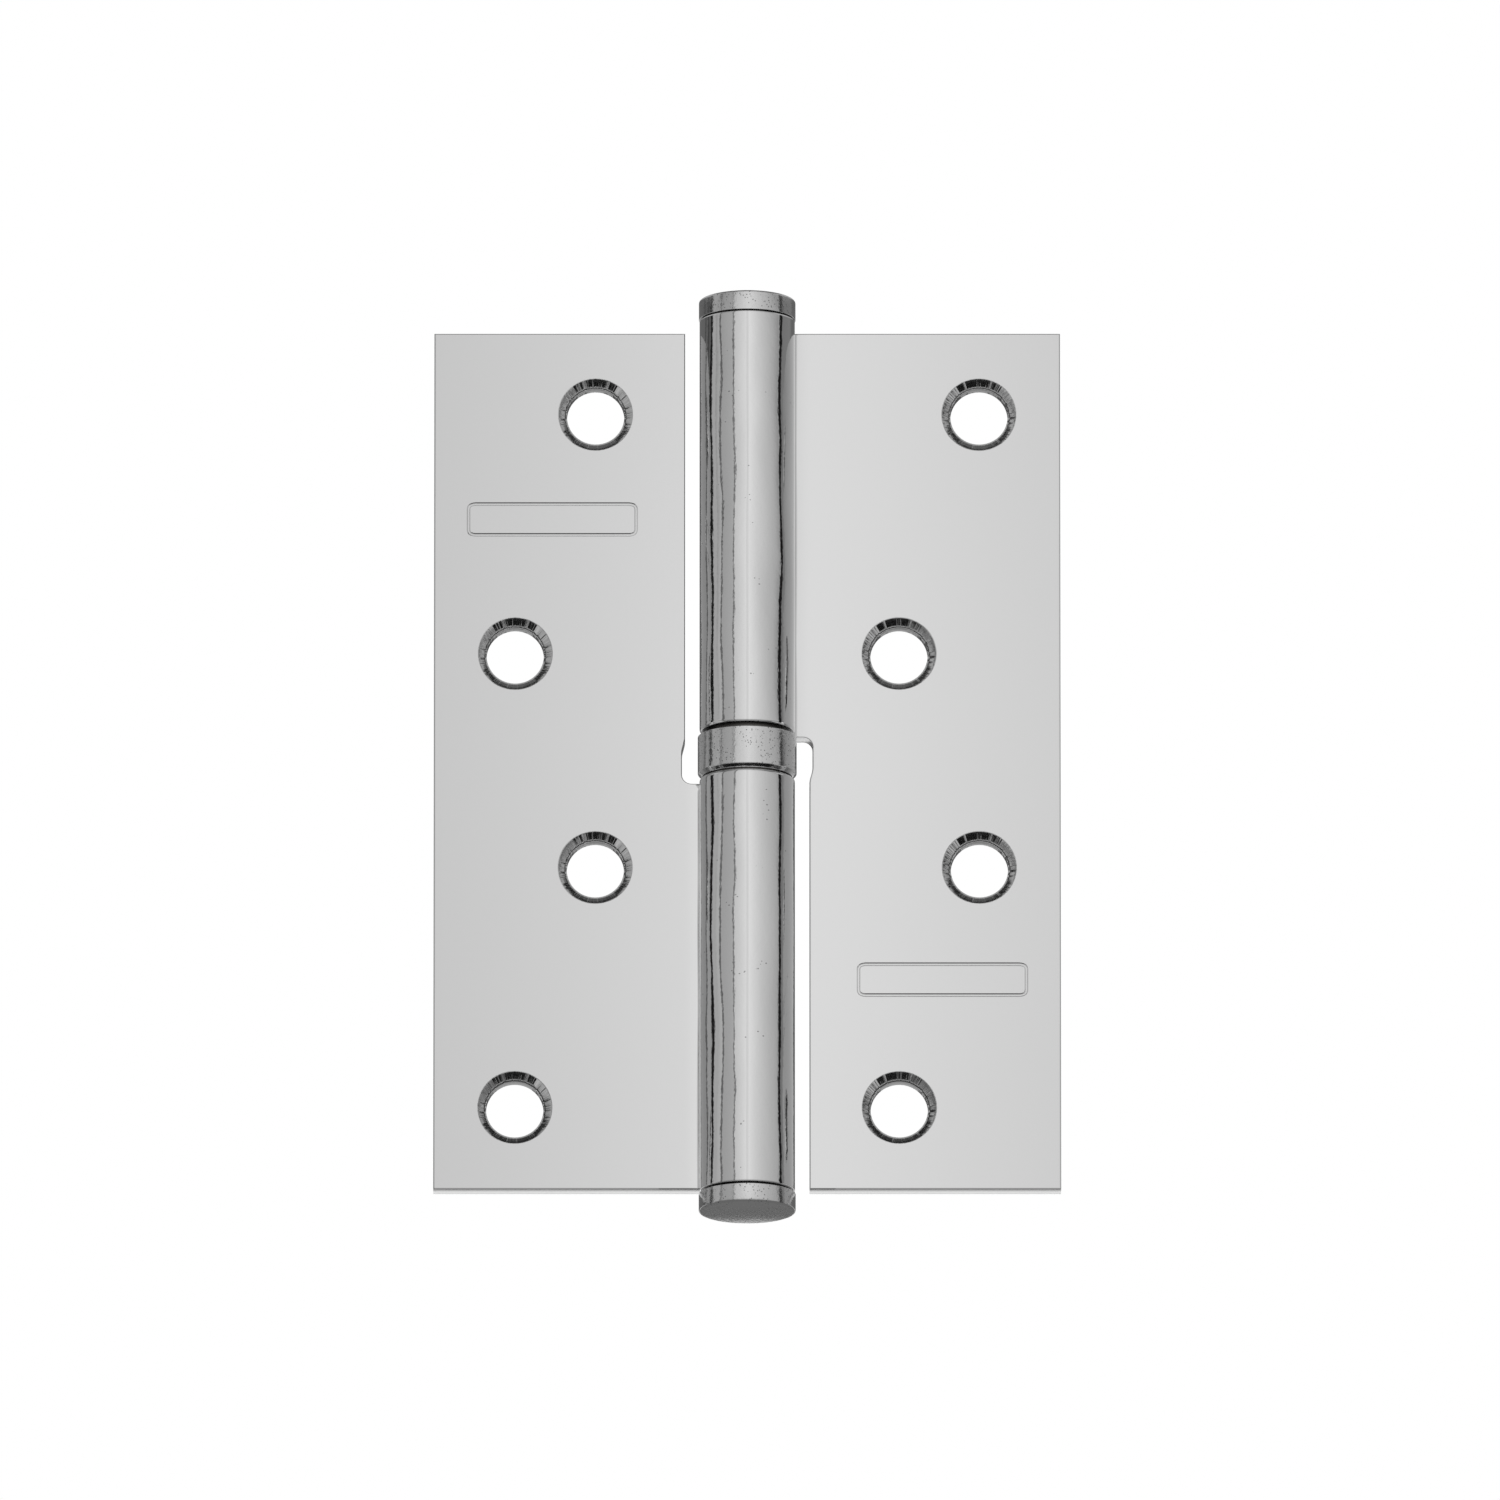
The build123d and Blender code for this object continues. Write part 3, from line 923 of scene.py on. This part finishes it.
# %% Dress every piece
finishes = {"polished_chrome": polished_chrome, "satin_chrome": satin_chrome, "bright_steel": bright_steel,
            "bearing_steel": bearing_steel, "cage_brass": cage_brass}
for part, finish in ((door_leaf, polished_chrome), (frame_leaf, polished_chrome), (upper_cap, satin_chrome),
                     (lower_cap, satin_chrome), (shell, satin_chrome), (pin, bright_steel)):
    part.data.materials.append(finish)
for entry in frame["record"]["subparts"]:
    for slot in frame["nodes"][entry["node"]].material_slots:
        slot.material = finishes[entry["material_slot"]]
print("finishes:", ", ".join(finishes))

# %% [markdown]
# ## Studio
# Chrome shows the room, so the room is the picture. A broad lit screen stands close in front, brightest near
# its middle, and everything at right angles to the view is dark: that gives a barrel its bright centre and thin
# black lines. The screen is hidden from the camera but not from reflections. Studio sizes are in metres.


# %% Studio helpers
def grey_ramp(tree, value, low, high, stops):
    """Grey by a value between low and high, from stops of (value, grey)."""
    node = add_node(tree, "ShaderNodeValToRGB")
    elements = node.color_ramp.elements
    shares = [(at - low) / (high - low) for at, _ in stops]
    elements[0].position, elements[1].position = shares[0], shares[-1]
    for share in shares[1:-1]:
        elements.new(share)
    for element, (_, grey) in zip(elements, stops):
        element.color = (grey, grey, grey, 1.0)
    feed(node.inputs["Fac"], ease_node(tree, value, low, high, kind="LINEAR"))
    return node.outputs["Color"]


def start_glow(name):
    """Material with an empty tree, and the x, y and z of its Object coordinates."""
    material, tree, _ = new_material(name)
    tree.nodes.clear()
    place = add_node(tree, "ShaderNodeTexCoord").outputs["Object"]
    return material, tree, split_node(tree, place)


def end_glow(tree, level):
    """Light of the given strength as the surface."""
    glow = add_node(tree, "ShaderNodeEmission")
    out = add_node(tree, "ShaderNodeOutputMaterial")
    feed(glow.inputs["Strength"], level)
    feed(out.inputs["Surface"], glow.outputs[0])


def flat_stage(name, corners, material):
    """Single face for the studio, which is not part of the object."""
    mesh = bpy.data.meshes.new(name)
    mesh.from_pydata(corners, [], [list(range(len(corners)))])
    mesh.materials.append(material)
    piece = bpy.data.objects.new(name, mesh)
    bpy.context.scene.collection.objects.link(piece)
    print("stage:", name)
    return piece


def reflected_card(name, corners, material):
    """Glowing face that only reflections see."""
    card = flat_stage(name, corners, material)
    card.visible_camera = card.visible_diffuse = card.visible_shadow = False


# %% Lit screen
SCREEN_FRONT = -0.11
SCREEN_WIDTH = 0.6
SCREEN_LOW, SCREEN_HIGH = -0.15, 0.2
HOT_SPOT, HOT_WIDTH, HOT_POWER = 0.008, 0.075, 1.3
SCREEN_FLOOR, SCREEN_PEAK = 0.46, 1.03
SCREEN_SEAMS = [(-0.6, 1.05), (-0.275, 1.05), (-0.245, 0.3), (-0.215, 0.26), (-0.205, 0.8), (-0.074, 0.74),
                (-0.0705, 0.2), (-0.0665, 0.25), (-0.063, 1.0)]
SCREEN_HEIGHTS = [(-0.15, 0.22), (-0.09, 0.5), (-0.035, 0.98), (0.03, 1.0), (0.09, 0.98), (0.2, 0.7)]


def make_screen_light():
    """Glow that falls off sideways from the hot spot: floor plus the rest over one plus distance to a power,
    times the level of the panels and their dark seams, and the level at each height."""
    material, tree, (x, _, z) = start_glow("lit_screen")
    away = calc(tree, "ABSOLUTE", calc(tree, "SUBTRACT", x, HOT_SPOT))
    power = calc(tree, "POWER", calc(tree, "DIVIDE", away, HOT_WIDTH), HOT_POWER)
    fall = calc(tree, "DIVIDE", 1.0 - SCREEN_FLOOR, calc(tree, "ADD", power, 1.0))
    raised = calc(tree, "ADD", fall, SCREEN_FLOOR)
    level = calc(tree, "MULTIPLY", raised, SCREEN_PEAK)
    panels = grey_ramp(tree, x, -SCREEN_WIDTH, SCREEN_WIDTH, SCREEN_SEAMS)
    heights = grey_ramp(tree, z, SCREEN_LOW, SCREEN_HIGH, SCREEN_HEIGHTS)
    shaded = calc(tree, "MULTIPLY", panels, heights)
    end_glow(tree, calc(tree, "MULTIPLY", level, shaded))
    return material


screen_corners = [(side * SCREEN_WIDTH, SCREEN_FRONT, height)
                  for side, height in ((-1, SCREEN_LOW), (1, SCREEN_LOW), (1, SCREEN_HIGH), (-1, SCREEN_HIGH))]
reflected_card("lit_screen", screen_corners, make_screen_light())

# %% [markdown]
# ## Floor and table
# The hinge stands on a plain pale floor. The camera is below it, so the floor's underside is clear. What faces
# down, such as the sheet's lower edge, mirrors the table behind the hinge: a card that is bright from a little
# way back and darker near the hinge as a painted shadow, and a small dim one for the shade under the cap.

# %% Floor
FLOOR_GAP = 0.0001
FLOOR_RADIUS, FLOOR_POINTS = 1.0, 64
FLOOR_GREY, FLOOR_ROUGHNESS = 0.86, 0.9
floor_height = cad_box[0][2] - FLOOR_GAP


def make_floor_finish():
    """Plain pale floor, seen only from above: its underside lets the low camera look through."""
    material, tree, shader = new_material("pale_floor")
    feed(shader.inputs["Base Color"], (FLOOR_GREY, FLOOR_GREY, FLOOR_GREY, 1.0))
    feed(shader.inputs["Roughness"], FLOOR_ROUGHNESS)
    side = add_node(tree, "ShaderNodeNewGeometry")
    clear = add_node(tree, "ShaderNodeBsdfTransparent")
    choose = add_node(tree, "ShaderNodeMixShader")
    sources = (side.outputs["Backfacing"], shader.outputs[0], clear.outputs[0])
    for socket, source in zip(choose.inputs, sources):
        feed(socket, source)
    feed(tree.nodes["Material Output"].inputs["Surface"], choose.outputs[0])
    return material


floor_turn = np.linspace(0, 2 * np.pi, FLOOR_POINTS, endpoint=False)
floor_ring = np.stack([FLOOR_RADIUS * np.cos(floor_turn), FLOOR_RADIUS * np.sin(floor_turn),
                       np.full_like(floor_turn, floor_height)], axis=-1)
floor = flat_stage("pale_floor", floor_ring.tolist(), make_floor_finish())
floor.visible_glossy = False

# %% Table behind
TABLE_DROP = 0.0013
# The low levels in the first 14 mm are a painted shadow of the hinge on the table.
TABLE_STOPS = [(0.0, 0.28), (0.014, 0.34), (0.019, 1.1), (0.06, 1.0), (0.1, 0.75), (0.22, 0.95), (0.6, 0.8)]
SHADE_HALF, SHADE_FRONT = 0.01, -0.007
SHADE_STOPS = [(0.0, 0.2), (0.0125, 0.16)]
SHADE_LIFT = 0.0002


def table_card(name, half_width, front, height, stops):
    """Level card that glows by the distance behind the pin axis, from stops of (distance, grey)."""
    material, tree, (_, y, _) = start_glow(name)
    back = stops[-1][0]
    end_glow(tree, grey_ramp(tree, y, 0.0, back, stops))
    corners = [(-half_width, front, height), (half_width, front, height),
               (half_width, back, height), (-half_width, back, height)]
    reflected_card(name, corners, material)


table_height = floor_height - TABLE_DROP
table_card("rear_table", SCREEN_WIDTH, 0.0, table_height, TABLE_STOPS)
table_card("cap_shade", SHADE_HALF, SHADE_FRONT, table_height + SHADE_LIFT, SHADE_STOPS)

# %% [markdown]
# ## World and lamp
# The camera sees a white world, and reflections see grey walls with dark uprights, which the barrel shrinks to
# thin lines. Floor and ceiling are pale, so that the leaves also look like chrome from above, and dark only
# straight above and below. All other rays get even soft light, and one lamp draws the shadow on the floor.

# %% Room
AZIMUTH_STOPS = [(-180, 0.16), (-128, 0.16), (-124, 0.08), (-114, 0.18), (-110, 0.05), (-101, 0.15),
                 (-97.5, 0.01), (-92, 0.01), (-90, 0.5), (-50, 0.5), (-40, 0.02), (40, 0.02), (50, 0.45),
                 (82, 0.42), (83.5, 0.01), (90, 0.01), (93, 0.24), (125, 0.26), (140, 0.16), (180, 0.16)]
STRIP_STOPS = [(-1.0, 0.01), (-0.72, 0.01), (-0.6, 0.75), (-0.4, 0.75), (0.4, 0.6), (0.55, 0.6), (0.7, 0.12),
               (1.0, 0.12)]
PALE_STOPS = [(-1.0, 0.4), (-0.85, 0.52), (-0.6, 0.62), (-0.4, 0.75), (0.4, 0.6), (0.6, 0.55), (1.0, 0.45)]
WALL_STOPS = [(-1.0, 1.0), (-0.55, 1.0), (-0.28, 0.0), (0.3, 0.0), (0.42, 1.0), (1.0, 1.0)]
STRIP_EDGE = (0.3, 0.42)
WALL_FRONT = (-0.5, -0.25)


def room_grey(tree, x, y, z):
    """Grey of the room in a direction. Uprights go by the angle round the pin axis, zero in front. Past the
    wall come floor and ceiling, by height, dark where y is small. In front the wall hides the ceiling."""
    azimuth = calc(tree, "ARCTAN2", x, calc(tree, "MULTIPLY", y, -1.0))
    uprights = [(np.radians(angle), grey) for angle, grey in AZIMUTH_STOPS]
    wall = grey_ramp(tree, azimuth, -np.pi, np.pi, uprights)
    strip, pale, past_wall = [grey_ramp(tree, z, -1.0, 1.0, stops)
                              for stops in (STRIP_STOPS, PALE_STOPS, WALL_STOPS)]
    behind = ease_node(tree, y, *WALL_FRONT)
    aside = ease_node(tree, calc(tree, "ABSOLUTE", y), *STRIP_EDGE)
    levels = mix_colour(tree, aside, strip, pale)
    below = calc(tree, "LESS_THAN", z, 0.0)
    uncovered = calc(tree, "MAXIMUM", behind, below)
    return mix_colour(tree, calc(tree, "MULTIPLY", past_wall, uncovered), wall, levels)


# %% World
SOFT_LEVEL = 0.7


def make_world():
    """White to the camera, the room to reflections, and even soft light to all other rays."""
    world = bpy.data.worlds.new("studio")
    bpy.context.scene.world = world
    world.use_nodes = True
    tree = world.node_tree
    tree.nodes.clear()
    path = add_node(tree, "ShaderNodeLightPath")
    camera_ray, glossy_ray = path.outputs["Is Camera Ray"], path.outputs["Is Glossy Ray"]
    direction = add_node(tree, "ShaderNodeTexCoord").outputs["Generated"]
    shine = calc(tree, "MULTIPLY", room_grey(tree, *split_node(tree, direction)), glossy_ray)
    others = calc(tree, "SUBTRACT", 1.0, glossy_ray)
    soft = calc(tree, "MULTIPLY", others, SOFT_LEVEL)
    level = calc(tree, "MAXIMUM", calc(tree, "ADD", shine, soft), camera_ray)
    back = add_node(tree, "ShaderNodeBackground")
    feed(back.inputs["Color"], (1.0, 1.0, 1.0, 1.0))
    feed(back.inputs["Strength"], level)
    out = add_node(tree, "ShaderNodeOutputWorld")
    feed(out.inputs["Surface"], back.outputs[0])


make_world()
print("world:", bpy.context.scene.world.name)

# %% Soft lamp
LAMP_POWER, LAMP_SIZE = 4.0, 0.6
LAMP_PLACE = (-0.25, -0.2, 0.75)
LAMP_TILT = np.radians([15, -18, 0])
lamp_data = bpy.data.lights.new("top_soft_box", "AREA")
lamp_data.energy = LAMP_POWER
lamp_data.size = LAMP_SIZE
lamp = bpy.data.objects.new("top_soft_box", lamp_data)
lamp.location = LAMP_PLACE
lamp.rotation_euler = LAMP_TILT
lamp.visible_glossy = False
bpy.context.scene.collection.objects.link(lamp)

# %% [markdown]
# ## Camera
# The hinge is seen square on and from a little below, with a long lens: the leaf's sides stay parallel. The
# lowered view shows in the countersinks, which are ovals, and in the underside of the lower cap.

# %% Camera
PHOTO_PIXELS = 1500
PIXELS_PER_MM = 8.83
AXIS_PIXEL = (747.2, 756.1)
VIEW_BELOW = np.radians(14.3)
DISTANCE = 6.0
CLIP_END = 20.0
SENSOR_WIDTH = 36.0
camera_data = bpy.data.cameras.new("camera")
camera_data.sensor_width = SENSOR_WIDTH
camera_data.lens = SENSOR_WIDTH * DISTANCE / (PHOTO_PIXELS / PIXELS_PER_MM * MM)
camera_data.clip_end = CLIP_END
camera = bpy.data.objects.new("camera", camera_data)
toward = np.array([0.0, np.cos(VIEW_BELOW), np.sin(VIEW_BELOW)])
raised = np.array([0.0, -np.sin(VIEW_BELOW), np.cos(VIEW_BELOW)])
right_mm = (PHOTO_PIXELS / 2 - AXIS_PIXEL[0]) / PIXELS_PER_MM
raised_mm = (AXIS_PIXEL[1] - PHOTO_PIXELS / 2) / PIXELS_PER_MM
aim = np.array([right_mm, 0.0, 0.0]) * MM + raised * raised_mm * MM
camera.location = aim - toward * DISTANCE
camera.rotation_euler = (np.pi / 2 + VIEW_BELOW, 0.0, 0.0)
bpy.context.scene.collection.objects.link(camera)
bpy.context.scene.camera = camera
bpy.context.scene.view_settings.view_transform = "Standard"
print(f"lens {camera_data.lens:.0f} mm")
